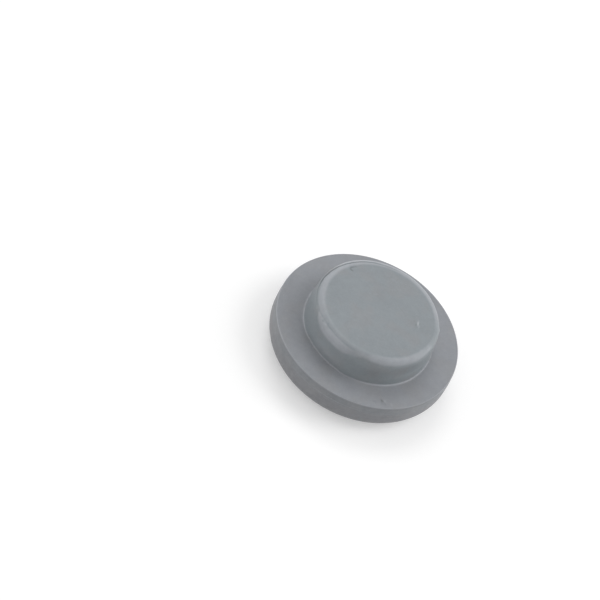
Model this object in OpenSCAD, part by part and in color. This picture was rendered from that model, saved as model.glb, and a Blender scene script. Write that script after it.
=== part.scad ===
// Rubber stopper for a crimp-neck vial: a thick round flange with a short solid plug.
// It is one moulding. It stands on the spacer dots of its crown, with the plug up.
// Z = 0 is the surface it stands on, and +Z runs along its axis, out of the plug.

/* [Flange] */
// Diameter of the flange at the crisp edge of its sealing face
flange_d = 19; // [18.6:0.1:20]
// Thickness of the flange, without the spacer dots
flange_t = 3.6; // [3.2:0.1:4.5]
// Rounding of the outer edge on the crown side
crown_r = 1.8; // [0.8:0.1:1.9]
// Distance from the sealing face to the parting line round the side
parting_h = 0.9; // [0.5:0.1:1.1]
// How far the side swells out from the sealing edge to the parting line
swell = 0.05; // [0.02:0.01:0.1]

/* [Plug] */
// Diameter of the plug's straight land, which seals in the neck
plug_d = 13.4; // [12.6:0.1:14]
// Length of the plug from the sealing face
plug_l = 3.4; // [2.6:0.1:6]
// Height of the straight land above the sealing face
land_h = 1.3; // [0.8:0.1:1.6]
// Lean of the lead-in between the land and the rounded edge, in degrees
lead_angle = 11; // [2:1:14]
// Rounding of the edge at the plug's end
plug_edge_r = 0.7; // [0.3:0.1:0.9]
// Height of the fine moulding bead round the plug's foot
bead_h = 0.1; // [0.05:0.01:0.15]

/* [Recess] */
// Diameter at which the crown starts to bend down into its recess
recess_d = 10.4; // [9:0.1:10.6]
// Depth of the recess
recess_depth = 0.8; // [0.3:0.05:0.85]
// Rounding of the lip round the recess
lip_r = 1.6; // [1.2:0.1:1.8]
// Radius of the bend from the recess wall to its floor
bend_r = 3.4; // [2.4:0.1:3.6]

/* [Spacer dots] */
// Number of raised dots that keep stoppers from sticking together
dot_count = 4; // [3:1:8]
// Diameter of the circle through the dots' centres
dot_ring_d = 13.4; // [12.8:0.1:13.6]
// Diameter of a dot at its foot
dot_d = 1.2; // [1:0.1:1.3]
// Diameter of the flat tip that a dot stands on
dot_tip_d = 0.5; // [0.3:0.1:0.6]
// Height of a dot above the crown
dot_h = 0.25; // [0.1:0.05:0.3]
// Angle of the first dot from the X axis
first_dot_angle = 45; // [0:5:90]

/* [Hidden] */
$fn = 180;
rubber_grey = [0.56, 0.58, 0.6];

// Heights, upwards from the tips of the dots
crown_z = dot_h;
seal_z = crown_z + flange_t;
end_z = seal_z + plug_l;
parting_z = seal_z - parting_h;
side_z = crown_z + crown_r;

// Radii of the flange
edge_x = flange_d / 2;
side_x = edge_x + swell;
crown_x = side_x - crown_r;

// Radii and heights of the plug: the lead-in meets the end's rounding at a tangent, at (lead_x, lead_z)
plug_x = plug_d / 2;
land_z = seal_z + land_h;
round_z = end_z - plug_edge_r;
lead_z = round_z + plug_edge_r * sin(lead_angle);
lead_x = plug_x - (lead_z - land_z) * tan(lead_angle);
end_x = lead_x - plug_edge_r * cos(lead_angle);

// The recess is an ogee: the lip's arc and the bend's arc meet where the wall is steepest
lip_x = recess_d / 2;
lip_z = crown_z + lip_r;
floor_z = crown_z + recess_depth;
wall_slope = acos(1 - recess_depth / (lip_r + bend_r));
meet_x = lip_x - lip_r * sin(wall_slope);
floor_x = meet_x - bend_r * sin(wall_slope);

// A dot is a slice of a ball sunk into the crown, which passes through its foot and the rim of its tip
dot_sink = ((dot_d / 2) ^ 2 - (dot_tip_d / 2) ^ 2 - dot_h ^ 2) / (2 * dot_h);
dot_ball_r = sqrt((dot_d / 2) ^ 2 + dot_sink ^ 2);

// A quarter of a disc, between the +X and +Y axes
module quarter_disc(r) {
    intersection() {
        circle(r);
        square(r);
    }
}

// The half section of the crown, from the recess floor out to its lip
module recess_profile() {
    translate([0, floor_z])
        square([floor_x, lip_z - floor_z]);
    difference() {
        translate([floor_x, crown_z])
            square([meet_x - floor_x, lip_r]);
        translate([floor_x, floor_z - bend_r])
            circle(bend_r);
    }
    translate([lip_x, lip_z])
        intersection() {
            circle(lip_r);
            translate([meet_x - lip_x, -lip_r])
                square([lip_x - meet_x, lip_r]);
        }
}

// The half section of the flange: recess, flat crown, rounded edge, parting line, sealing face
module flange_profile() {
    recess_profile();
    polygon([
        [0, lip_z],
        [lip_x, lip_z],
        [lip_x, crown_z],
        [crown_x, crown_z],
        [crown_x, side_z],
        [side_x, side_z],
        [side_x, parting_z],
        [edge_x, seal_z],
        [0, seal_z],
    ]);
    translate([crown_x, side_z])
        mirror([0, 1])
            quarter_disc(crown_r);
}

// The rounding of the plug's end: the part of a disc between the lead-in's lean and the +Y axis
module end_rounding() {
    reach = 2 * plug_edge_r;
    intersection() {
        circle(plug_edge_r);
        polygon([
            [0, 0],
            [reach * cos(lead_angle), reach * sin(lead_angle)],
            [reach, reach],
            [0, reach],
        ]);
    }
}

// The half section of the plug: bead round the foot, straight land, tapered lead-in, rounded edge
module plug_profile() {
    polygon([
        [0, seal_z - flange_t / 4],
        [plug_x, seal_z - flange_t / 4],
        [plug_x, land_z],
        [lead_x, lead_z],
        [end_x, round_z],
        [0, round_z],
    ]);
    translate([0, round_z])
        square([end_x, plug_edge_r]);
    translate([end_x, round_z])
        end_rounding();
    translate([plug_x, seal_z])
        quarter_disc(bead_h);
}

// One raised dot, cut flat where it stands on a surface
module spacer_dot() {
    intersection() {
        translate([0, 0, crown_z + dot_sink])
            sphere(dot_ball_r);
        cylinder(h = crown_z + dot_h, d = 2 * dot_d);
    }
}

module stopper() {
    color(rubber_grey)
        union() {
            rotate_extrude() {
                flange_profile();
                plug_profile();
            }
            for (i = [0:dot_count - 1])
                rotate(first_dot_angle + 360 * i / dot_count)
                    translate([dot_ring_d / 2, 0, 0])
                        spacer_dot();
        }
}

stopper();
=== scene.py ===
"""Looks of the rubber stopper.

One dense moulded mesh, a matte rubber material, a pale floor, soft light and the camera.
"""

import math

import bmesh
import bpy
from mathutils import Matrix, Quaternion, Vector, noise


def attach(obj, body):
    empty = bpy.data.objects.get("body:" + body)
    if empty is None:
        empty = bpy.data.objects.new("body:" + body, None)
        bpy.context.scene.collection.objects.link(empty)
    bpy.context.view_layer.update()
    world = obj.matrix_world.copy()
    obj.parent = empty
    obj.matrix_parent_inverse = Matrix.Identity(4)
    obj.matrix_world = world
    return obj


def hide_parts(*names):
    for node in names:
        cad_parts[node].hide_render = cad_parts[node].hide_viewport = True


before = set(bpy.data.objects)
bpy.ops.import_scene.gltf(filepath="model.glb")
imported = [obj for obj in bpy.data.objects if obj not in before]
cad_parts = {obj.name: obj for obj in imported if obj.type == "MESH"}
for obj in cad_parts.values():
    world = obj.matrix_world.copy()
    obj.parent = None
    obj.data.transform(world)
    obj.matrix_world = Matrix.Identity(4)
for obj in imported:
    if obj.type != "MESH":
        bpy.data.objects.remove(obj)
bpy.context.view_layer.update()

MM = 0.001  # metres

# Sizes of the stopper in millimetres, as in the CAD source
CROWN_Z = 0.25
SIDE_Z = 2.05
PARTING_Z = 2.95
SEAL_Z = 3.85
LAND_Z = 5.15
END_Z = 7.25
EDGE_X = 9.5
SIDE_X = 9.55
CROWN_R = 1.8
CROWN_X = SIDE_X - CROWN_R
PLUG_X = 6.7
PLUG_EDGE_R = 0.7
LEAD_ANGLE = math.radians(11)
ROUND_Z = END_Z - PLUG_EDGE_R
LEAD_Z = ROUND_Z + PLUG_EDGE_R * math.sin(LEAD_ANGLE)
LEAD_X = PLUG_X - (LEAD_Z - LAND_Z) * math.tan(LEAD_ANGLE)
END_X = LEAD_X - PLUG_EDGE_R * math.cos(LEAD_ANGLE)
LIP_X = 5.2
LIP_R = 1.6
BEND_R = 3.4
RECESS_DEPTH = 0.8
FLOOR_Z = CROWN_Z + RECESS_DEPTH
WALL_SLOPE = math.acos(1 - RECESS_DEPTH / (LIP_R + BEND_R))
MEET_X = LIP_X - LIP_R * math.sin(WALL_SLOPE)
FLOOR_X = MEET_X - BEND_R * math.sin(WALL_SLOPE)
DOT_RING_R = 6.7
DOT_R = 0.6
DOT_TIP_R = 0.25
DOT_H = 0.25
DOT_SINK = (DOT_R**2 - DOT_TIP_R**2 - DOT_H**2) / (2 * DOT_H)
DOT_BALL_R = math.hypot(DOT_R, DOT_SINK)
DOT_ANGLES = (45, 135, 225, 315)

# How the mesh is laid out
SEGMENTS = 360  # vertices in a full ring, one a degree
CENTRE_R = 0.25  # the ring next to the axis
SAME_POINT = 1e-4  # two points of the section this close are one
DOT_CELLS_OUT = 7.5  # the crown's cells between these two radii,
DOT_CELLS_IN = 5.9
DOT_CELLS_HALF = 7  # and this many degrees to both sides of a dot, make way for it
DOT_SKIRT = 0.03  # their filling starts this far outside a dot's foot
DOT_SKIRT_SHARES = (0.3, 0.6, 0.85)  # of the way from the cells' outline to there
DOT_RADII = (0.63, 0.6, 0.57, 0.52, 0.46, 0.4, 0.35, 0.31, 0.28, 0.26, 0.24, 0.22, 0.18, 0.12, 0.06)

# Fine moulding detail, in millimetres
RELIEF = ((0.010, 4.0, 1), (0.004, 0.9, 2))  # depth, size of its features, seed
SEAL_EDGE_R = 0.1
PARTING_STEP = 0.02
BEAD_R = 0.09
BEAD_AT = (PLUG_X + 0.01, SEAL_Z + 0.01)
BEAD_LOSS = 0.65  # share of its size that the bead loses where it is flattest
BEAD_PULL = (0.15, 0.9)  # all within the first distance wanders with it, none past the second
DOME_DEPTH = 0.045
WAIST_DEPTH = 0.12
WAIST_Z = 5.2
WAIST_HALF = 0.75
DOT_SOFT = 0.04  # softening of the edge of a dot's flat tip

# The trim groove on the left half of the plug's edge, as (angle, tilt of the surface there in
# degrees, share of the depth)
GROOVE = (
    (82, 5, 0),
    (100, 6, 0.6),
    (110, 7, 0.8),
    (120, 13, 1.1),
    (132, 17, 1.5),
    (142, 21, 1.7),
    (150, 27, 1.8),
    (160, 35, 1.8),
    (170, 43, 1.6),
    (180, 58, 1.7),
    (193, 69, 0.9),
    (205, 70, 0.6),
    (217, 57, 0.4),
    (228, 46, 0.35),
    (240, 45, 0.55),
    (262, 46, 0.5),
    (276, 44, 0),
)
GROOVE_DEPTH = 0.055
GROOVE_HALF = 0.075
# painted shade: how dark the groove is painted where its shade falls
GROOVE_SHADE = 1.5
RIDGE_OFF = 0.16  # a light ridge runs this far outside the groove's far part
RIDGE_HALF = 0.07
RIDGE_RISE = 0.025
# painted highlight: how light the ridge's crest is painted
RIDGE_HIGHLIGHT = 1.1

# The light band on the plug's edge, worn rubber with a painted sheen and highlight, as (angle, how
# far down it reaches along the section, strength, share of the strength left on its inner half)
WORN_AND_SHEEN_BAND = (
    (0, 0.5, 0.2, 1),
    (8, 0.5, 0.02, 1),
    (20, 0.66, 0.42, 1),
    (35, 0.7, 0.9, 1),
    (90, 0.72, 1.2, 1),
    (148, 0.75, 1.2, 1),
    (157, 0.6, 1.15, 1),
    (170, 0.56, 1.1, 1),
    (180, 0.68, 1.05, 1),
    (200, 0.6, 0.9, 0.9),
    (215, 0.72, 0.82, 0.8),
    (225, 1.38, 0.93, 0.5),
    (234, 1.6, 1.15, 0.38),
    (240, 1.6, 1.32, 0.32),
    (250, 1.58, 1.32, 0.27),
    (259, 1.55, 1.1, 0.28),
    (270, 1.2, 0.52, 0.6),
    (279, 0.8, 0.5, 0.65),
    (289, 0.95, 0.92, 0.7),
    (300, 1.05, 0.95, 0.85),
    (312, 1.05, 0.95, 0.85),
    (330, 1, 0.84, 0.95),
    (348, 0.82, 0.52, 1),
    (360, 0.5, 0.2, 1),
)

# The bead at the plug's foot, as (angle, strength of the highlight painted along its top, how far
# it wanders inwards in millimetres, how flat it is)
FOOT = (
    (0, 0.8, 0.06, 0),
    (20, 0.4, 0, 0),
    (150, 0.4, 0, 0),
    (170, 0.6, 0.06, 0.1),
    (180, 0.9, 0.08, 0),
    (195, 0.95, 0.06, 0),
    (207, 0.85, 0.01, 0.1),
    (218, 0.25, -0.02, 0.75),
    (232, 0.25, 0.05, 0.8),
    (250, 0.22, 0.07, 0.8),
    (262, 0.2, 0.02, 0.85),
    (272, 0.2, -0.05, 0.85),
    (281, 0.6, -0.05, 0.4),
    (290, 1.1, -0.04, 0),
    (302, 1.7, -0.01, 0),
    (312, 1.5, 0, 0),
    (330, 1.1, 0.03, 0),
    (345, 0.8, 0.07, 0),
    (360, 0.8, 0.06, 0),
)

# Patches that fade out by angle, as (angle, half angle, amount)
BAND_LATER = (-62, 32, 0.07)  # where the worn band starts further out, in millimetres
BULGE = (-118, 17, 0.055)  # where the wall stands out, in millimetres
LEFT_SHADE = (173, 14, -0.65)  # and the rest are painted light above 0 and painted shade below 0
RIGHT_WALL_SHADE = (-32, 24, -0.85)
CORNER_SHADE = (-139, 14, -0.75)
UNDER_RIM_SHADE = (-33, 17, -0.8)
# painted light on the far part of the sealing face
PALE_FACE = ((22, 32, 0.22), (143, 26, 0.22))

# Painted light and shade on the plug's wall, as (patch, height, half height)
WALL_PATCHES = (
    ((-115, 20, 0.5), SEAL_Z + 0.8, 0.75),
    ((-65, 12, -0.8), WAIST_Z, 0.55),
)

# Fine lines round the side from moulding and trimming, as (height, half width, depth, tone), the
# tone being painted highlight above 0 and painted shade below 0 along their small steps and grooves
SIDE_LINES = (
    (2.97, 0.035, 0, 0.45),
    (2.73, 0.03, 0.002, 0.2),
    (2.52, 0.05, 0.006, -0.5),
    (2.34, 0.035, 0.003, -0.25),
    (2.2, 0.03, 0.002, 0.2),
)

# Painted highlight along the sealing edge, as (angle, strength)
RIM = (
    (0, 0.6),
    (150, 0.8),
    (180, 1.1),
    (195, 1.6),
    (210, 1.6),
    (228, 1.45),
    (240, 1.2),
    (255, 0.85),
    (270, 0.5),
    (283, 0.68),
    (300, 0.8),
    (312, 0.8),
    (320, 0.6),
    (330, 0.85),
    (342, 0.67),
    (360, 0.6),
)

# Marks in the plug's end and a lump on its edge
MARK_REACH = 0.7
MARK_DEPTH = 0.2  # only points less than this far below the plug's end are marked
C_MARK_AT = (-4.27, 2.95)
C_MARK_R = 0.22
C_MARK_HALF = 0.09
C_MARK_DEPTH = 0.035
# painted shade along the c-shaped mark
C_MARK_SHADE = 1.9
C_MARK_BACK = (-0.9, -0.45)  # towards the c's back, away from its opening
NICK_AT = (4.0, 0.8)
NICK_ACROSS = (0.87, 0.38)
NICK_ALONG = (-0.5, 0.63)
LUMP_AT = (6.01, 1.87, 6.7)
LUMP_HALF = 0.23
LUMP_RISE = 0.085
# painted highlight on the lump
LUMP_HIGHLIGHT = 1.2

# The nick's painted shade left and right and its torn middle, as (place across, place along, weight
# of a distance along it, half width, depth, tone)
NICK_STREAKS = (
    (-0.18, -0.1, 0.4, 0.07, 0.03, -1.3),
    (0.16, -0.05, 0.4, 0.07, 0, -0.8),
    (0, 0, 0.3, 0.085, 0, 2.2),
)

# Small scratches and flecks, as (x and y of one end, x and y of the other, height, half width,
# depth, wear)
STROKES = (
    (4.5, -7.18, 4.64, -7.24, SEAL_Z, 0.1, 0.015, -2.2),
    (4.62, -7.3, 4.66, -7.5, SEAL_Z, 0.11, 0.008, -1.1),
    (4.95, -7.4, 5.0, -7.52, SEAL_Z, 0.1, 0.008, -1.3),
    (4.79, -7.08, 4.84, -7.14, SEAL_Z, 0.1, 0, 1),
    (5.5, -6.98, 5.6, -7.12, SEAL_Z, 0.1, 0, 0.6),
    (3.87, -7.83, 4.05, -7.76, SEAL_Z, 0.1, 0.005, -0.8),
    (-4.2, -4.75, -4.25, -4.72, 6.86, 0.1, 0, -0.6),
    (-3.82, -5.03, -3.86, -5.06, 6.91, 0.09, 0, 0.7),
    (-3.65, -4.93, -3.62, -4.9, 7.11, 0.09, 0, -0.7),
    (-3.9, -5.15, -3.95, -5.12, 6.39, 0.08, 0, 0.6),
    (-4.3, 3.22, -4.1, 3.45, END_Z, 0.09, 0.012, -1.2),
    (-1.6, 1.2, -0.9, 1.55, END_Z, 0.06, 0.003, 0.3),
    (1.9, -2.6, 2.1, -1.9, END_Z, 0.06, 0.003, 0.25),
)

STROKE_REACH = 3  # half widths

# Colours of the rubber
PLUG_COLOUR = (0.246, 0.272, 0.290, 1)
FACE_COLOUR = (0.268, 0.280, 0.302, 1)
SIDE_COLOUR = (0.236, 0.248, 0.264, 1)
LOW_COLOUR = (0.243, 0.247, 0.262, 1)
CROWN_COLOUR = (0.262, 0.268, 0.284, 1)
RECESS_COLOUR = (0.254, 0.268, 0.287, 1)
WARM_COLOUR = (0.264, 0.267, 0.276, 1)
DUST_COLOUR = (0.42, 0.43, 0.44, 1)

# What takes over upwards, as (height where it begins, height where it is full, colour)
TINTS = (
    (2.4, 3.2, SIDE_COLOUR),
    (SEAL_Z - 0.15, SEAL_Z - 0.03, FACE_COLOUR),
    (SEAL_Z + 0.02, SEAL_Z + 0.15, PLUG_COLOUR),
)

# Mottle in tone, as (size, detail, roughness, shift, strength)
MOTTLE = (
    (3.4, 2, 0.5, 1.7, 0.11),
    (0.8, 3, 0.6, 5.2, 0.16),
    (0.25, 2, 0.6, 6.6, 0.11),
    (0.09, 2, 0.6, 7.9, 0.10),
)
# how strongly the worn tone with its painted highlights, and the dirt with its painted shade,
# lighten and darken the rubber
WEAR_AND_HIGHLIGHT_TONE = 0.26
DIRT_AND_SHADE_TONE = 0.16
ROUGHNESS = 0.5
SPECULAR = 0.33
GRAIN = 0.0022  # heights of the bump, in millimetres
PEEL = 0.0040
SCUFF = 0.004

# Camera: its distance is in metres, and the places in pixels are for a 600 pixel picture
FOCAL_PX = 2702
IMAGE_PX = 600
SENSOR_MM = 36
TARGET_PX = (368.1, 329.7)
CAMERA_DISTANCE = 0.2662
CAMERA_ELEVATION = math.radians(47.084)
CAMERA_ROLL = math.radians(29.674)
CAMERA_CLIP = (0.01, 10)

# Light: an even dome, and lamps as (name, strength, azimuth from +X, elevation), and the floor
DOME_STRENGTH = 0.653
LAMP_ANGLE = math.radians(30)
LAMPS = (
    ("back_right", 0.185, 30, 50),
    ("back_left", 0.163, 120, 50),
    ("side_right", 0.272, 30, 10),
    ("side_left", 0.188, 180, 10),
)
LAMP_DISTANCE = 0.3  # metres
FLOOR_GLOW = 0.34
FLOOR_COLOUR = (0.72, 0.72, 0.72, 1)
FLOOR_HALF = 1.5  # metres
FLOOR_GAP = 0.002  # millimetres below the dots' tips, to be clear of them


# ---------------------------------------------------------------- half section


def arc(cx, cz, r, start, end, steps):
    """Points along an arc of the half section, from start to end in degrees."""
    turns = [math.radians(start + (end - start) * i / steps) for i in range(steps + 1)]
    return [(cx + r * math.cos(a), cz + r * math.sin(a)) for a in turns]


def line(a, b, steps):
    """Points along a straight run of the half section."""
    return [
        (a[0] + (b[0] - a[0]) * i / steps, a[1] + (b[1] - a[1]) * i / steps)
        for i in range(steps + 1)
    ]


def section():
    """The half section, from the middle of the plug's end round to the middle of the recess."""
    end_x = END_X - 0.3  # the plug's end has closer rings outside this,
    low_x = PLUG_X - 0.2  # the lead-in below this,
    rim_x = EDGE_X - 0.35  # and the sealing face outside this
    low_lead = (low_x, LEAD_Z - (low_x - LEAD_X) / math.tan(LEAD_ANGLE))
    close = 0.03  # between the rings at the sealing edge and at the parting line
    slope = math.degrees(WALL_SLOPE)
    spans = [
        # the plug's end
        line((CENTRE_R, END_Z), (5, END_Z), 30),
        line((5, END_Z), (end_x, END_Z), 8),
        line((end_x, END_Z), (END_X, END_Z), 9),
        # its rounded edge, the lead-in and the land
        arc(END_X, ROUND_Z, PLUG_EDGE_R, 90, math.degrees(LEAD_ANGLE), 32),
        line((LEAD_X, LEAD_Z), low_lead, 10),
        line(low_lead, (PLUG_X, LAND_Z), 8),
        line((PLUG_X, LAND_Z), (PLUG_X, SEAL_Z + 0.12), 9),
        # the bead at its foot, the sealing face and the sealing edge
        arc(*BEAD_AT, BEAD_R, 90, 0, 6),
        line((PLUG_X + 0.13, SEAL_Z), (rim_x, SEAL_Z), 18),
        line((rim_x, SEAL_Z), (EDGE_X - SEAL_EDGE_R, SEAL_Z), 5),
        arc(EDGE_X - SEAL_EDGE_R, SEAL_Z - SEAL_EDGE_R, SEAL_EDGE_R, 90, 0, 6),
        # the side, with the step at its parting line, and the crown's rounding
        line(
            (EDGE_X, SEAL_Z - SEAL_EDGE_R - close),
            (SIDE_X - PARTING_STEP, PARTING_Z + close),
            7,
        ),
        [(SIDE_X, PARTING_Z), (SIDE_X, PARTING_Z - close)],
        line((SIDE_X, PARTING_Z - 0.08), (SIDE_X, SIDE_Z), 16),
        arc(CROWN_X, SIDE_Z, CROWN_R, 0, -90, 24),
        # the crown, where the dots stand, and its recess
        line((CROWN_X, CROWN_Z), (DOT_CELLS_OUT, CROWN_Z), 2),
        line((DOT_CELLS_OUT, CROWN_Z), (DOT_CELLS_IN, CROWN_Z), 14),
        line((DOT_CELLS_IN, CROWN_Z), (LIP_X, CROWN_Z), 5),
        arc(LIP_X, CROWN_Z + LIP_R, LIP_R, -90, -90 - slope, 10),
        arc(FLOOR_X, FLOOR_Z - BEND_R, BEND_R, 90 - slope, 90, 16),
        line((FLOOR_X, FLOOR_Z), (CENTRE_R, FLOOR_Z), 15),
    ]
    points = []
    for span in spans:
        for p in span:
            if not points or math.dist(p, points[-1]) > SAME_POINT:
                points.append(p)
    return points


def nearest(points, place):
    """Which of the section's points is nearest to a place."""
    return min(range(len(points)), key=lambda i: math.dist(points[i], place))


def lengths_along(points):
    """The length along the section at each point, from where the plug's edge starts to round."""
    lengths = [0.0]
    for before, after in zip(points, points[1:]):
        lengths.append(lengths[-1] + math.dist(before, after))
    start = lengths[nearest(points, (END_X, END_Z))]
    return [length - start for length in lengths]


def ring_count(r):
    """Vertices in a ring: fewer near the axis, so that the cells stay even."""
    halvings = sum(r <= limit for limit in (3, 1.5, 0.7))
    return SEGMENTS // 2**halvings


# ---------------------------------------------------------------- surface relief, worn tone, and painted light and shade


def wave(p, size, seed):
    """Smooth noise between -1 and 1 whose features are about size millimetres."""
    return noise.noise(Vector(p) / size + Vector((seed * 17.3, seed * 5.1, seed * 9.7)))


def smooth(low, high, value):
    """0 below low, 1 above high, and an even S between them."""
    t = min(max((value - low) / (high - low), 0), 1)
    return t * t * (3 - 2 * t)


def bell(distance, half):
    """1 at no distance, falling smoothly to nothing at about twice half."""
    return math.exp(-((distance / half) ** 2))


def spread(angle, patch):
    """The amount of a patch at an angle."""
    middle, half, amount = patch
    return amount * bell((angle - middle + 180) % 360 - 180, half)


def course(rows, angle):
    """The row at an angle, between the rows of a list, with the steps between them smoothed."""
    a = angle % 360
    if a < rows[0][0] or a > rows[-1][0]:
        return None
    for before, after in zip(rows, rows[1:]):
        if before[0] <= a <= after[0]:
            share = smooth(before[0], after[0], a)
            return [u + (v - u) * share for u, v in zip(before[1:], after[1:])]


def relief(p):
    """How far the moulding sinks below its ideal surface at p, in millimetres, never outwards."""
    return sum(depth * (1 + wave(p, size, seed)) / 2 for depth, size, seed in RELIEF)


def worn_band_and_sheen(along, angle, p, wobble):
    """Strength of the light band on the plug's edge: worn rubber with a painted sheen and highlight
    on it.
    """
    turn = math.radians(angle)
    # it starts further in at the left and on the far side, and comes up more slowly at the left
    inner = -0.2 + 0.14 * math.cos(turn) - 0.08 * max(math.sin(turn), 0) + wobble
    inner += spread(angle, BAND_LATER)
    fade = 0.36 - 0.06 * math.cos(turn)
    reach, strength, share = course(WORN_AND_SHEEN_BAND, angle)
    strength *= share + (1 - share) * smooth(0.25, 0.6, along)
    reach += wobble
    band = smooth(inner, inner + fade, along) * (1 - smooth(reach - 0.22, reach + 0.2, along))
    return band * strength * (1 + 0.14 * wave(p, 0.7, 4))


def trim_groove(along, angle, p, wobble):
    """Rise of the trim groove and of the ridge outside its far part, with painted shade darkening
    the groove and a painted highlight along the ridge.
    """
    row = course(GROOVE, angle)
    if not row:
        return 0, 0
    tilt, depth = row
    around = angle % 360
    off = along - (PLUG_EDGE_R * math.radians(tilt) + wobble * 0.4)
    near = smooth(185, 215, around)  # it is wider and more ragged on the near side
    cut = bell(off, GROOVE_HALF * (1 + 0.8 * near)) * depth * (1 + 0.4 * near * wave(p, 0.5, 11))
    ridge = bell(off - RIDGE_OFF, RIDGE_HALF) * smooth(95, 125, around)
    ridge *= 1 - smooth(154, 166, around)
    return RIDGE_RISE * ridge - GROOVE_DEPTH * cut, RIDGE_HIGHLIGHT * ridge - GROOVE_SHADE * cut


def plug_edge(along, angle, p):
    """Rise of the plug's edge, with its worn tone and painted light and shade, at a length along
    the section from its rounding's start.
    """
    wobble = 0.03 * wave(p, 1.1, 3)
    rise, wear_and_painted_light = trim_groove(along, angle, p, wobble)
    wear_and_painted_light += worn_band_and_sheen(along, angle, p, wobble)
    # painted shade outside the groove, at the left, where the lead-in lies in shade
    wear_and_painted_light += spread(angle, LEFT_SHADE) * smooth(0.45, 0.62, along) * (1 - smooth(0.9, 1.3, along))
    # the wall bulges a little at the front left
    rise += spread(angle, BULGE) * bell(along - 1.08, 0.28)
    return rise, wear_and_painted_light


def wall_light_and_shade(angle, z):
    """Painted light and shade in patches on the plug's wall, and painted shade below the light band
    at the front right.
    """
    wear_and_painted_light = 0.0
    for patch, height, half in WALL_PATCHES:
        wear_and_painted_light += spread(angle, patch) * bell(z - height, half)
    shaded_stretch = smooth(LAND_Z - 0.1, LAND_Z + 0.35, z) * (1 - smooth(ROUND_Z - 0.45, ROUND_Z, z))
    # painted shade below the light band at the front right
    return wear_and_painted_light + spread(angle, RIGHT_WALL_SHADE) * shaded_stretch


def face_light_and_shade(angle, r, p):
    """Painted light and shade at the plug's foot, on the sealing face and along the sealing edge:
    highlights along the bead and the edge, shade in the corner, and light on the far face.
    """
    # painted highlight along the top of the bead at the plug's foot
    foot = bell(math.hypot(r - PLUG_X - 0.05, p.z - SEAL_Z - 0.05), 0.07)
    wear_and_painted_light = course(FOOT, angle)[0] * foot * (1 + 0.3 * wave(p, 1.3, 5))
    # painted highlight along the sealing edge
    rim = bell(math.hypot(r - EDGE_X, p.z - SEAL_Z + 0.03), 0.06)
    wear_and_painted_light += course(RIM, angle)[0] * rim * (1 + 0.3 * wave(p, 1.5, 6))
    # painted shade in the corner at the front left
    corner = bell(r - PLUG_X - 0.15, 0.4) * smooth(0.02, 0, p.z - SEAL_Z)
    wear_and_painted_light += spread(angle, CORNER_SHADE) * corner
    # painted light: the far part of the face is a little lighter
    pale = sum(spread(angle, patch) for patch in PALE_FACE)
    between = smooth(PLUG_X + 0.1, PLUG_X + 0.4, r) * (1 - smooth(EDGE_X - 0.3, EDGE_X, r))
    return wear_and_painted_light + pale * between


def side_lines(angle, p):
    """Rise of the fine lines round the side with their painted highlights and shade, and painted
    shade just below the sealing edge.
    """
    rise, wear_and_painted_light = 0.0, 0.0
    for z, half, depth, tone in SIDE_LINES:
        drawn = bell(p.z - z, half) * (0.65 + 0.5 * wave(p, 2.2, 9 + z))
        rise -= depth * drawn
        wear_and_painted_light += tone * drawn
    # painted shade all round just below the sealing edge, most of it at the front right
    wear_and_painted_light += (spread(angle, UNDER_RIM_SHADE) - 0.3) * bell(p.z - SEAL_Z + 0.2, 0.12)
    return rise, wear_and_painted_light


def surface(p, along):
    """Rise above the ideal surface in millimetres, and wear_and_painted_light at p: above 0 it
    lightens, for wear and painted highlights; below 0 it darkens, for dirt and painted shade.

    along is the length along the section from where the plug's edge starts to round.
    """
    angle = math.degrees(math.atan2(p.y, p.x))
    r = math.hypot(p.x, p.y)
    rise, wear_and_painted_light = -relief(p), 0.0
    features = []
    if p.z > LAND_Z and along > -1:
        features.append(plug_edge(along, angle, p))
    if p.z > ROUND_Z:
        # the plug's end is very slightly domed
        rise -= DOME_DEPTH * min(r / END_X, 1) ** 2 * (1 - smooth(0.2, 0.9, along))
    if SEAL_Z < p.z < LEAD_Z + 0.3:
        # and its wall very slightly waisted
        rise -= WAIST_DEPTH * bell(p.z - WAIST_Z, WAIST_HALF)
    if abs(p.z - SEAL_Z) < 0.5:
        wear_and_painted_light += face_light_and_shade(angle, r, p)
    if SEAL_Z + 0.02 < p.z < ROUND_Z:
        wear_and_painted_light += wall_light_and_shade(angle, p.z)
    if r > CROWN_X and SIDE_Z - 0.1 < p.z < SEAL_Z:
        features.append(side_lines(angle, p))
    if p.z < SIDE_Z:
        wear_and_painted_light += crown_scuffs_and_lip_light(p)
    features += [mark(p) for mark in MARKS]
    for feature_rise, feature_wear in features:
        rise += feature_rise
        wear_and_painted_light += feature_wear
    if p.z > END_Z - 0.01:
        rise = min(rise, 0)  # nothing stands above the plug's end
    return rise, wear_and_painted_light


def crown_scuffs_and_lip_light(p):
    """Scuffs on the crown, in patches, and a painted highlight along the lip of its recess."""
    r = math.hypot(p.x, p.y)
    patch = smooth(-0.15, 0.45, wave(p, 2.4, 31))
    exposed = 0.25 + 0.75 * smooth(3.6, 5, r)  # the recess is sheltered
    wear_and_painted_light = (0.12 + 0.5 * patch) * exposed * wave(p, 0.28, 32)
    # painted highlight along the recess's lip
    return wear_and_painted_light + 0.3 * bell(r - LIP_X + 0.35, 0.3) * (1 + wave(p, 0.8, 33))


def dot_shade_and_tip(r):
    """Painted shade round the foot of a dot, and its worn tip, at a distance from its centre."""
    return 0.7 * bell(r - DOT_TIP_R, 0.09) - 1.6 * bell(r - DOT_R, 0.08)


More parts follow.
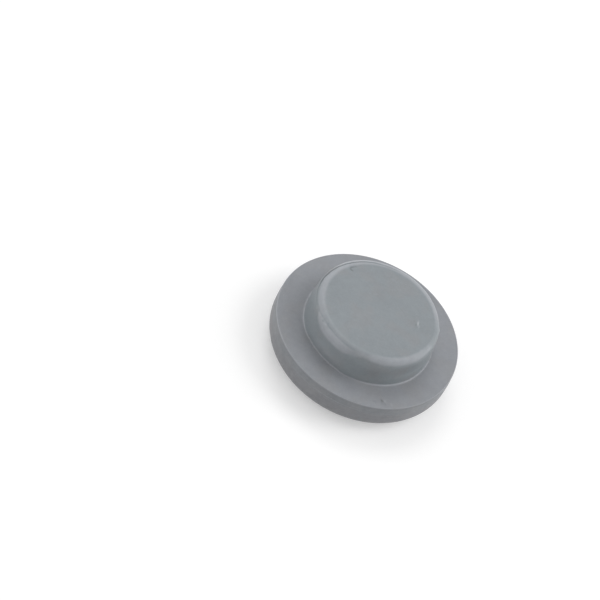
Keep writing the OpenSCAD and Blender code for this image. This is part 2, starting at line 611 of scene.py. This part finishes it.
def settle(r, z, angle):
    """A point of the section once the bead at the plug's foot has flattened and wandered."""
    if not SEAL_Z - SAME_POINT <= z <= SEAL_Z + BEAD_PULL[1]:
        return r, z
    _, shift, flat = course(FOOT, angle)
    if math.dist((r, z), BEAD_AT) < BEAD_R + SAME_POINT:
        keep = 1 - BEAD_LOSS * flat
        r, z = (c + (value - c) * keep for c, value in zip(BEAD_AT, (r, z)))
    near = 1 - smooth(*BEAD_PULL, math.hypot(max(r - PLUG_X, 0), z - SEAL_Z))
    return r - near * shift, z


def from_mark(p, place):
    """x and y from a mark in the plug's end, or None out of its reach."""
    x, y = p.x - place[0], p.y - place[1]
    if p.z < END_Z - MARK_DEPTH or math.hypot(x, y) > MARK_REACH:
        return None
    return x, y


def c_mark(p):
    """A c-shaped mark pressed into the plug's end, near its far left edge, with painted shade along
    it.
    """
    off = from_mark(p, C_MARK_AT)
    if not off:
        return 0, 0
    x, y = off
    closed = smooth(-0.7, 0.4, (C_MARK_BACK[0] * x + C_MARK_BACK[1] * y) / C_MARK_R)
    ring = bell(math.hypot(x, y) - C_MARK_R, C_MARK_HALF) * closed
    return -C_MARK_DEPTH * ring, -C_MARK_SHADE * ring


def nick(p):
    """A short nick in the plug's end, light where the rubber is torn, with painted shade on both
    sides.
    """
    off = from_mark(p, NICK_AT)
    if not off:
        return 0, 0
    x, y = off
    across = NICK_ACROSS[0] * x + NICK_ACROSS[1] * y
    along = NICK_ALONG[0] * x + NICK_ALONG[1] * y
    rise, wear_and_painted_light = 0.0, 0.0
    for middle, start, share, half, depth, tone in NICK_STREAKS:
        drawn = bell(math.hypot(across - middle, (along - start) * share), half)
        rise -= depth * drawn
        wear_and_painted_light += tone * drawn
    return rise, wear_and_painted_light


def strokes(p):
    """Small scratches and flecks, each a short soft stroke between two points."""
    rise, wear_and_painted_light = 0.0, 0.0
    for ax, ay, bx, by, z, half, depth, tone in STROKES:
        reach = STROKE_REACH * half
        if abs(p.z - z) > reach:
            continue
        dx, dy = bx - ax, by - ay
        t = ((p.x - ax) * dx + (p.y - ay) * dy) / (dx * dx + dy * dy)
        t = min(max(t, 0), 1)
        off = math.dist((p.x, p.y, p.z), (ax + t * dx, ay + t * dy, z))
        if off < reach:
            drawn = bell(off, half)
            rise -= depth * drawn
            wear_and_painted_light += tone * drawn
    return rise, wear_and_painted_light


def edge_lump(p):
    """A small lump of rubber on the plug's edge, at the right, with a painted highlight on it."""
    off = (p - Vector(LUMP_AT)).length
    if off > MARK_REACH:
        return 0, 0
    lump = bell(off, LUMP_HALF)
    return LUMP_RISE * lump, LUMP_HIGHLIGHT * lump


MARKS = (c_mark, nick, strokes, edge_lump)


# ---------------------------------------------------------------- mesh


def add_object(name, data):
    """A new object in the scene."""
    made = bpy.data.objects.new(name, data)
    bpy.context.scene.collection.objects.link(made)
    return made


def add_mesh(name, bm):
    """A new mesh object in the scene, from a finished bmesh."""
    mesh = bpy.data.meshes.new(name)
    bm.to_mesh(mesh)
    bm.free()
    return add_object(name, mesh)


def add_vertex(bm, wear_and_light_layer, p, wear_and_painted_light):
    """A vertex at a point in millimetres, with its value for worn and dirty tone and for painted
    light and shade.
    """
    vertex = bm.verts.new(p * MM)
    vertex[wear_and_light_layer] = wear_and_painted_light
    return vertex


def turned(r, z, a):
    """The point at a radius and a height, turned round the axis by an angle in radians."""
    return Vector((r * math.cos(a), r * math.sin(a), z))


def build_stopper():
    """The moulding as one closed mesh: rings round the section, and the dots set in the crown."""
    points = section()
    bm = bmesh.new()
    wear_and_light_layer = bm.verts.layers.float.new("wear_and_painted_light")
    rings = lay_rings(bm, wear_and_light_layer, points)
    first, last = (nearest(points, (r, CROWN_Z)) for r in (DOT_CELLS_OUT, DOT_CELLS_IN))
    join_rings(bm, rings, first, last)
    close_centre(bm, rings[0], END_Z, -1)
    close_centre(bm, rings[-1], FLOOR_Z, 1)
    for angle in DOT_ANGLES:
        add_dot(bm, wear_and_light_layer, dot_border(rings, first, last, angle), angle)
    bmesh.ops.recalc_face_normals(bm, faces=bm.faces)
    piece = add_mesh("stopper_moulding", bm)
    for polygon in piece.data.polygons:
        polygon.use_smooth = True
    return piece


def lay_rings(bm, wear_and_light_layer, points):
    """A ring of vertices for each point of the section, with their relief, their worn and dirty
    tone, and their painted light and shade.
    """
    rings = []
    for i, along in enumerate(lengths_along(points)):
        r, z = points[i]
        before = points[max(i - 1, 0)]
        after = points[min(i + 1, len(points) - 1)]
        slope = Vector((after[0] - before[0], after[1] - before[1])).normalized()
        out = Vector((-slope[1], slope[0]))  # the section runs outwards and down
        count = ring_count(r)
        ring = []
        for k in range(count):
            a = 2 * math.pi * k / count
            rise, wear_and_painted_light = surface(turned(r, z, a), along)
            p = turned(*settle(r, z, math.degrees(a)), a)
            normal = turned(*out, a)
            ring.append(add_vertex(bm, wear_and_light_layer, p + rise * normal, wear_and_painted_light))
        rings.append(ring)
    return rings


def join_rings(bm, rings, first, last):
    """The faces between the rings, without the cells that make way for the dots."""
    for i, (upper, lower) in enumerate(zip(rings, rings[1:])):
        if len(upper) != len(lower):
            step_down(bm, upper, lower)
            continue
        n = len(upper)
        for k in range(n):
            if first <= i < last and under_dot(k):
                continue
            j = (k + 1) % n
            bm.faces.new((upper[k], lower[k], lower[j], upper[j]))


def under_dot(k):
    """Whether the cell that starts at k degrees makes way for a dot."""
    width = 2 * DOT_CELLS_HALF
    return any((k - angle + DOT_CELLS_HALF) % SEGMENTS < width for angle in DOT_ANGLES)


def step_down(bm, a, b):
    """Three triangles for each coarse cell, between a ring and one with half its vertices."""
    fine, coarse = (a, b) if len(a) > len(b) else (b, a)
    n = len(fine)
    for k, c in enumerate(coarse):
        d = coarse[(k + 1) % len(coarse)]
        p, q, r = fine[2 * k], fine[2 * k + 1], fine[(2 * k + 2) % n]
        bm.faces.new((p, q, c))
        bm.faces.new((q, d, c))
        bm.faces.new((q, r, d))


def close_centre(bm, ring, z, inwards):
    """Closes the mesh at the axis. inwards is the sign of z towards the rubber."""
    sink = relief(Vector((0, 0, z))) * inwards
    fan(bm, ring, bm.verts.new(Vector((0, 0, z + sink)) * MM))


def fan(bm, ring, middle):
    """Triangles between a ring and the vertex in its middle."""
    n = len(ring)
    for k in range(n):
        bm.faces.new((ring[k], ring[(k + 1) % n], middle))


def join(bm, a, b):
    """Faces between two rings with equally many vertices."""
    n = len(a)
    for k in range(n):
        j = (k + 1) % n
        bm.faces.new((a[k], a[j], b[j], b[k]))


def dot_height(r):
    """Height of a dot above the crown at a distance from its centre, with soft edges."""
    ball = math.sqrt(max(DOT_BALL_R**2 - r**2, 0)) - DOT_SINK
    gap = max(DOT_SOFT - abs(ball - DOT_H), 0) / DOT_SOFT
    return min(ball, DOT_H) - gap * gap * DOT_SOFT / 4


def dot_border(rings, first, last, angle):
    """The vertices round the cells that make way for one dot, in order."""
    left, right = angle - DOT_CELLS_HALF, angle + DOT_CELLS_HALF
    border = [rings[first][k % SEGMENTS] for k in range(left, right + 1)]
    border += [rings[i][right % SEGMENTS] for i in range(first + 1, last + 1)]
    border += [rings[last][k % SEGMENTS] for k in range(right - 1, left - 1, -1)]
    border += [rings[i][left % SEGMENTS] for i in range(last - 1, first, -1)]
    return border


def add_dot(bm, wear_and_light_layer, border, angle):
    """One dot in its gap: rings that pass from the border to its foot, and on over it."""
    centre = turned(DOT_RING_R, 0, math.radians(angle))
    turns = []
    for v in border:
        p = v.co / MM - centre
        turns.append(math.atan2(p.y, p.x))
    outer = border
    for share in DOT_SKIRT_SHARES:
        ring = []
        for v, t in zip(border, turns):
            foot = centre + turned(1, 0, t) * (DOT_R + DOT_SKIRT)
            p = (v.co / MM).lerp(foot, share)
            p.z = CROWN_Z
            off = math.hypot(p.x - centre.x, p.y - centre.y)
            wear_and_painted_light = crown_scuffs_and_lip_light(p) + dot_shade_and_tip(off)
            p.z += relief(p)
            ring.append(add_vertex(bm, wear_and_light_layer, p, wear_and_painted_light))
        join(bm, outer, ring)
        outer = ring
    for r in DOT_RADII:
        height = max(dot_height(r), 0) if r < DOT_R else 0
        ring = []
        for t in turns:
            p = centre + turned(r, 0, t)
            p.z = CROWN_Z
            wear_and_painted_light = crown_scuffs_and_lip_light(p) * 0.5 + dot_shade_and_tip(r)
            p.z += relief(p) * (1 - height / DOT_H) - height
            ring.append(add_vertex(bm, wear_and_light_layer, p, wear_and_painted_light))
        join(bm, outer, ring)
        outer = ring
    fan(bm, outer, bm.verts.new(Vector((centre.x, centre.y, CROWN_Z - DOT_H)) * MM))


# ---------------------------------------------------------------- materials


class Nodes:
    """Short forms for building a material's node tree."""

    def __init__(self, material):
        self.tree = material.node_tree
        self.position = self.new("ShaderNodeTexCoord").outputs["Object"]

    def new(self, kind):
        return self.tree.nodes.new(kind)

    def put(self, socket, value):
        """Links an output to a socket, or sets the socket to a number or a colour."""
        if isinstance(value, bpy.types.NodeSocket):
            self.tree.links.new(value, socket)
        else:
            socket.default_value = value

    def maths(self, operation, a, b=0.0, c=0.0):
        node = self.new("ShaderNodeMath")
        node.operation = operation
        for i, value in enumerate((a, b, c)):
            self.put(node.inputs[i], value)
        return node.outputs[0]

    def product(self, a, b):
        return self.maths("MULTIPLY", a, b)

    def plus(self, base, value, factor):
        """The base and factor times the value."""
        return self.maths("MULTIPLY_ADD", value, factor, base)

    def noise(self, size, detail, rough, shift):
        """Noise about 0, with features of about size millimetres."""
        move = self.new("ShaderNodeVectorMath")
        move.operation = "ADD"
        self.put(move.inputs[0], self.position)
        move.inputs[1].default_value = (shift, shift * 0.37, shift * 0.61)
        node = self.new("ShaderNodeTexNoise")
        self.put(node.inputs["Vector"], move.outputs[0])
        node.inputs["Scale"].default_value = 1 / (size * MM)
        node.inputs["Detail"].default_value = detail
        node.inputs["Roughness"].default_value = rough
        return self.maths("SUBTRACT", node.outputs["Fac"], 0.5)

    def span(self, value, low, high, start, end):
        """From start where the value is low to end where it is high, in an even S."""
        node = self.new("ShaderNodeMapRange")
        node.interpolation_type = "SMOOTHSTEP"
        self.put(node.inputs["Value"], value)
        names = ("From Min", "From Max", "To Min", "To Max")
        for name, number in zip(names, (low, high, start, end)):
            node.inputs[name].default_value = number
        return node.outputs["Result"]

    def place(self, value, low, high, start=0, end=1):
        """The same for a place in millimetres."""
        return self.span(value, low * MM, high * MM, start, end)

    def mix(self, share, a, b):
        """Colour a where the share is 0, and colour b where it is 1."""
        node = self.new("ShaderNodeMix")
        node.data_type = "RGBA"
        self.put(node.inputs["Factor"], share)
        self.put(node.inputs["A"], a)
        self.put(node.inputs["B"], b)
        return node.outputs["Result"]

    def times(self, colour, share):
        node = self.new("ShaderNodeVectorMath")
        node.operation = "SCALE"
        self.put(node.inputs[0], colour)
        self.put(node.inputs["Scale"], share)
        return node.outputs[0]


def rubber_hue(n, wear_and_painted_light, split):
    """Teal on the plug, more neutral lower down, where it is worn and where highlights are painted,
    with a faint warm mottle.
    """
    x, y, height = (split.outputs[axis] for axis in "XYZ")
    radius = n.maths("SQRT", n.plus(n.product(y, y), x, x))
    hue = n.mix(n.place(height, 0.8, 1.8), CROWN_COLOUR, LOW_COLOUR)
    inside = n.product(n.place(radius, 3.2, 4.4, 1, 0), n.place(height, 2, 3, 1, 0))
    hue = n.mix(inside, hue, RECESS_COLOUR)
    for low, high, colour in TINTS:
        hue = n.mix(n.place(height, low, high), hue, colour)
    hue = n.mix(n.span(n.noise(2.2, 2, 0.5, 3.1), -0.05, 0.14, 0, 0.4), hue, WARM_COLOUR)
    return n.mix(n.span(wear_and_painted_light, 0, 1, 0, 0.8), hue, FACE_COLOUR)


def rubber_tone(n, height, light, dark):
    """How light it is: mottle of four sizes, the blotchy side, worn tone with painted highlights,
    and dirt with painted shade.
    """
    tone = 1.0
    for size, detail, rough, shift, strength in MOTTLE:
        tone = n.plus(tone, n.noise(size, detail, rough, shift), strength)
    # the trimmed side is rougher and more blotchy than the rest
    trimmed = n.place(height, SEAL_Z - 0.2, SEAL_Z - 0.05, 0.3, 0)
    tone = n.plus(tone, n.noise(0.45, 3, 0.65, 8.4), trimmed)
    tone = n.plus(tone, light, WEAR_AND_HIGHLIGHT_TONE)
    return n.plus(tone, dark, DIRT_AND_SHADE_TONE)


def rubber_bump(n, light):
    """A matte grain on a very slight orange peel, and scuffs where the rubber is worn and where
    highlights are painted.
    """
    height = n.product(n.noise(0.07, 2, 0.6, 20.3), GRAIN)
    height = n.plus(height, n.noise(0.45, 2, 0.5, 23.6), PEEL)
    height = n.plus(height, n.product(light, n.noise(0.14, 2, 0.6, 25.1)), SCUFF)
    bump = n.new("ShaderNodeBump")
    bump.inputs["Strength"].default_value = 1.0
    bump.inputs["Distance"].default_value = MM
    n.put(bump.inputs["Height"], height)
    return bump.outputs["Normal"]


def rubber():
    """Matte grey rubber, lighter and smoother where it is worn and where highlights and sheen are
    painted, darker with dirt and painted shade, and with a little dust.
    """
    material = bpy.data.materials.new("grey_rubber")
    material.use_nodes = True
    n = Nodes(material)
    shader = material.node_tree.nodes["Principled BSDF"]
    attribute = n.new("ShaderNodeAttribute")
    attribute.attribute_name = "wear_and_painted_light"
    wear_and_painted_light = attribute.outputs["Fac"]
    split = n.new("ShaderNodeSeparateXYZ")
    n.put(split.inputs[0], n.position)
    uneven = n.plus(1.0, n.noise(0.3, 3, 0.6, 9.3), 0.7)
    # above 0: wear, painted highlights and painted sheen; below 0: dirt and painted shade
    light = n.product(n.maths("MAXIMUM", wear_and_painted_light, 0.0), uneven)
    dark = n.maths("MINIMUM", wear_and_painted_light, 0.0)
    tone = rubber_tone(n, split.outputs["Z"], light, dark)
    colour = n.times(rubber_hue(n, wear_and_painted_light, split), tone)

    # dust: light specks in sparse patches
    speck = n.span(n.noise(0.16, 0, 0.5, 12.4), 0.28, 0.34, 0, 0.35)
    patch = n.span(n.noise(1.9, 1, 0.5, 14.8), 0.0, 0.2, 0, 1)
    speck = n.product(speck, patch)
    n.put(shader.inputs["Base Color"], n.mix(speck, colour, DUST_COLOUR))

    rough = n.plus(ROUGHNESS, n.noise(0.8, 3, 0.6, 17.5), 0.16)
    rough = n.plus(rough, light, -0.06)
    rough = n.plus(rough, speck, 0.25)
    n.put(shader.inputs["Roughness"], rough)
    shader.inputs["Specular IOR Level"].default_value = SPECULAR
    n.put(shader.inputs["Normal"], rubber_bump(n, light))
    return material


def greater(tree, a, b):
    """The greater of two values."""
    node = tree.nodes.new("ShaderNodeMath")
    node.operation = "MAXIMUM"
    tree.links.new(a, node.inputs[0])
    tree.links.new(b, node.inputs[1])
    return node.outputs[0]


def choose(tree, out, share, a, b):
    """Shows shader a where the share is 0, and shader b where it is 1."""
    mix = tree.nodes.new("ShaderNodeMixShader")
    tree.links.new(share, mix.inputs["Fac"])
    tree.links.new(a.outputs[0], mix.inputs[1])
    tree.links.new(b.outputs[0], mix.inputs[2])
    tree.links.new(mix.outputs[0], out.inputs["Surface"])


def seen_directly(tree):
    """1 on camera, glossy and transmission rays, and 0 on the rays that only carry light."""
    path = tree.nodes.new("ShaderNodeLightPath")
    total = path.outputs["Is Camera Ray"]
    for name in ("Is Glossy Ray", "Is Transmission Ray"):
        total = greater(tree, total, path.outputs[name])
    return total


def pale_floor():
    """White that keeps a soft shadow: diffuse, with some light of its own where it is seen.

    From below the floor isn't there, so that the crown can be seen and is lit.
    """
    material = bpy.data.materials.new("pale_floor")
    material.use_nodes = True
    tree = material.node_tree
    tree.nodes.clear()
    out = tree.nodes.new("ShaderNodeOutputMaterial")
    diffuse = tree.nodes.new("ShaderNodeBsdfDiffuse")
    diffuse.inputs["Color"].default_value = FLOOR_COLOUR
    glow = tree.nodes.new("ShaderNodeEmission")
    strength = tree.nodes.new("ShaderNodeMath")
    strength.operation = "MULTIPLY"
    strength.inputs[1].default_value = FLOOR_GLOW
    tree.links.new(seen_directly(tree), strength.inputs[0])
    tree.links.new(strength.outputs[0], glow.inputs["Strength"])
    add = tree.nodes.new("ShaderNodeAddShader")
    tree.links.new(diffuse.outputs[0], add.inputs[0])
    tree.links.new(glow.outputs[0], add.inputs[1])
    clear = tree.nodes.new("ShaderNodeBsdfTransparent")
    side = tree.nodes.new("ShaderNodeNewGeometry").outputs["Backfacing"]
    passed = tree.nodes.new("ShaderNodeLightPath").outputs["Transparent Depth"]
    choose(tree, out, greater(tree, side, passed), add, clear)
    return material


# ---------------------------------------------------------------- stage


def build_floor():
    """A wide floor just below the dots' tips."""
    bm = bmesh.new()
    corners = ((-1, -1), (1, -1), (1, 1), (-1, 1))
    z = -FLOOR_GAP * MM
    bm.faces.new([bm.verts.new((x * FLOOR_HALF, y * FLOOR_HALF, z)) for x, y in corners])
    floor = add_mesh("floor", bm)
    floor.data.materials.append(pale_floor())


def build_world():
    """An even dome of light. The camera and reflections see it as white."""
    world = bpy.data.worlds.new("studio")
    bpy.context.scene.world = world
    world.use_nodes = True
    tree = world.node_tree
    tree.nodes.clear()
    out = tree.nodes.new("ShaderNodeOutputWorld")
    dome, white = (tree.nodes.new("ShaderNodeBackground") for _ in range(2))
    for shader, strength in ((dome, DOME_STRENGTH), (white, 1.0)):
        shader.inputs["Color"].default_value = (1, 1, 1, 1)
        shader.inputs["Strength"].default_value = strength
    choose(tree, out, seen_directly(tree), dome, white)


def build_lamps():
    """Four large soft lamps, each given by its strength and where it shines from."""
    for name, strength, azimuth, elevation in LAMPS:
        data = bpy.data.lights.new(name, "SUN")
        data.energy = strength * math.pi
        data.angle = LAMP_ANGLE
        lamp = add_object(name, data)
        a, e = math.radians(azimuth), math.radians(elevation)
        source = Vector((math.cos(a) * math.cos(e), math.sin(a) * math.cos(e), math.sin(e)))
        lamp.location = source * LAMP_DISTANCE
        lamp.rotation_mode = "QUATERNION"
        lamp.rotation_quaternion = (-source).to_track_quat("-Z", "Y")


def build_camera():
    """The camera looks at the middle of the sealing face, which stands off the picture's middle."""
    data = bpy.data.cameras.new("camera")
    data.sensor_width = SENSOR_MM
    data.lens = FOCAL_PX / IMAGE_PX * SENSOR_MM
    data.clip_start, data.clip_end = CAMERA_CLIP
    camera = add_object("camera", data)
    target = Vector((0, 0, SEAL_Z * MM))
    back = Vector((0, -math.cos(CAMERA_ELEVATION), math.sin(CAMERA_ELEVATION)))
    camera.location = target + back * CAMERA_DISTANCE
    middle = IMAGE_PX / 2
    ray = Vector(((TARGET_PX[0] - middle) / FOCAL_PX, (middle - TARGET_PX[1]) / FOCAL_PX, -1))
    look = (-back).to_track_quat("-Z", "Y")
    roll = Quaternion((0, 0, 1), CAMERA_ROLL)
    swing = Vector((0, 0, -1)).rotation_difference(ray)
    camera.rotation_mode = "QUATERNION"
    camera.rotation_quaternion = look @ roll @ swing.inverted()
    bpy.context.scene.camera = camera


build_camera()
build_world()
build_lamps()
build_floor()
stopper = build_stopper()
stopper.data.materials.append(rubber())
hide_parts("stopper")
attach(stopper, "root")

bpy.context.scene.view_settings.view_transform = "Standard"
